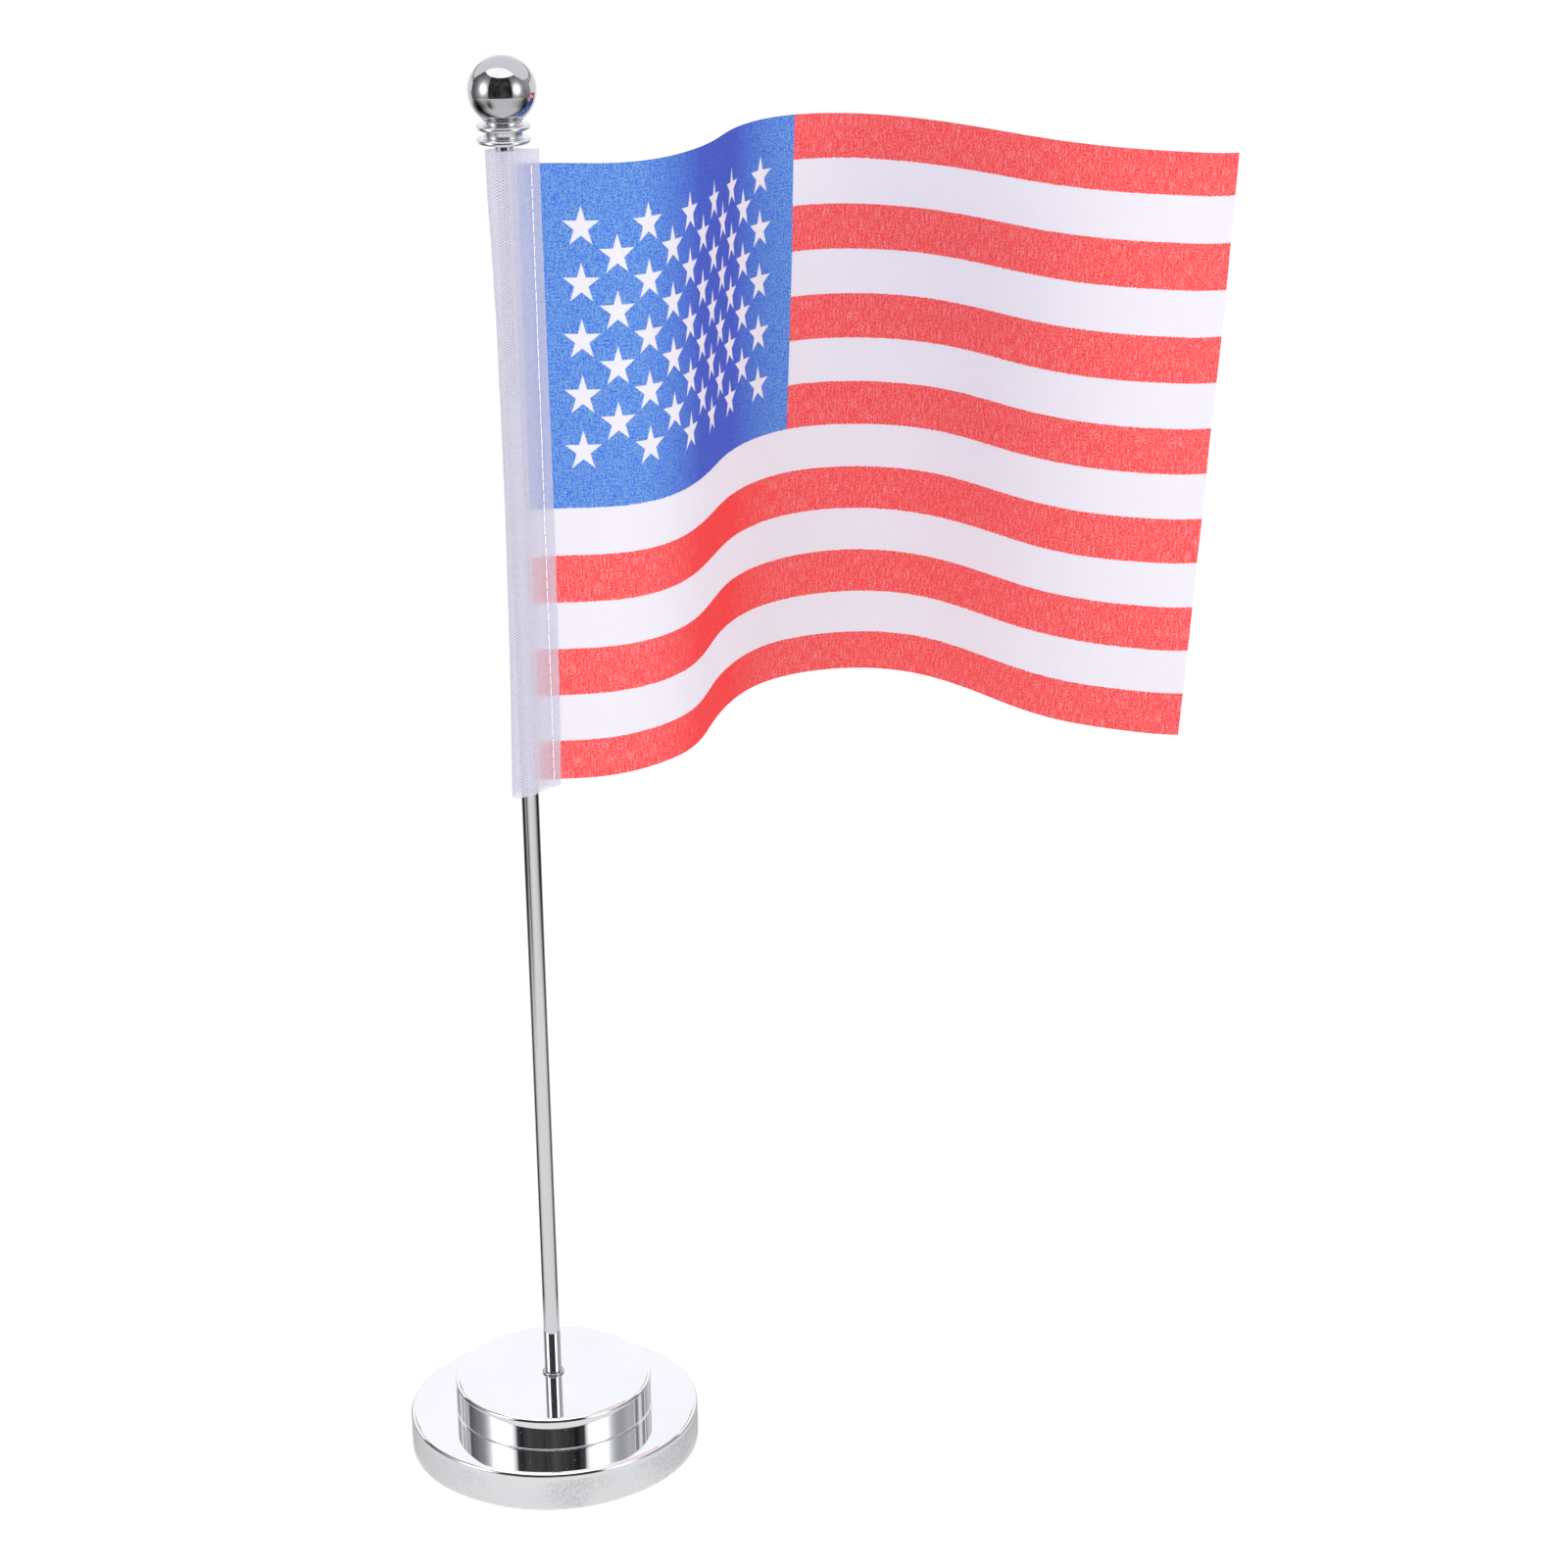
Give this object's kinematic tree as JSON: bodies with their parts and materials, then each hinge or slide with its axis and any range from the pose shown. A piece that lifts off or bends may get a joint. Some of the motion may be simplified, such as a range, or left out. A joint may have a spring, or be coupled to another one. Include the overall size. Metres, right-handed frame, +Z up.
{
  "type": "desk flag stand",
  "caption": "Desk flag stand: weighted two-step chromed round base, slim polished pole with ball finial, and a printed cloth flag waving from a translucent sleeve.",
  "frame": {"origin": "centre of the base's underside, on the pole's axis", "axes": "+Z up along the pole, +X from the pole along the flag, +Y away from the front of the flag"},
  "size_m": [0.2032, 0.1148, 0.3322],
  "materials": {
    "chromed_shell": "mirror polished plating",
    "polished_pole": "polished along its length",
    "chromed_finial": "mirror plating",
    "ballast_iron": "as cast",
    "plain_steel": "zinc plated",
    "filler_plastic": "matte",
    "pad_foam": "fine closed-cell foam",
    "sleeve_cloth": "fine translucent mesh weave",
    "flag_cloth": "thin printed polyester weave",
    "white_thread": "spun thread"
  },
  "bodies": {
    "base": {"base_shell": "chromed_shell", "ballast_disc": "ballast_iron", "foot_pad": "pad_foam", "step_shell": "chromed_shell", "step_filler": "filler_plastic", "sleeve_nut": "plain_steel", "nut_washer": "plain_steel"},
    "ring": {"foot_ring": "polished_pole"},
    "pole": {"pole_rod": "polished_pole"},
    "stud": {"finial_stud": "plain_steel"},
    "finial": {"finial_collar": "chromed_finial", "finial_ball": "chromed_finial"},
    "flag_set": {"sleeve": "sleeve_cloth", "flag": "flag_cloth", "hoist_thread": "white_thread"}
  },
  "joints": [
    {"name": "pole_turn", "type": "hinge", "parent": "base", "child": "ring", "pos_m": [0, 0, 0.018], "axis": [0, 0, 1], "range_deg": [0, 5580]},
    {"name": "pole_rise", "type": "slide", "parent": "ring", "child": "pole", "axis": [0, 0, 1], "range_m": [0, 0.00775]},
    {"name": "flag_slide", "type": "slide", "parent": "pole", "child": "flag_set", "axis": [0, 0, 1], "range_m": [-0.145, 0]},
    {"name": "finial_turn", "type": "hinge", "parent": "pole", "child": "stud", "pos_m": [0, 0, 0.3134], "axis": [0, 0, 1], "range_deg": [0, 4680]},
    {"name": "finial_rise", "type": "slide", "parent": "stud", "child": "finial", "axis": [0, 0, 1], "range_m": [0, 0.00585]}
  ],
  "couplings": [
    {"joint": "pole_rise", "follows": "pole_turn", "m_per_rad": 0.000079577},
    {"joint": "finial_rise", "follows": "finial_turn", "m_per_rad": 0.00007162}
  ]
}
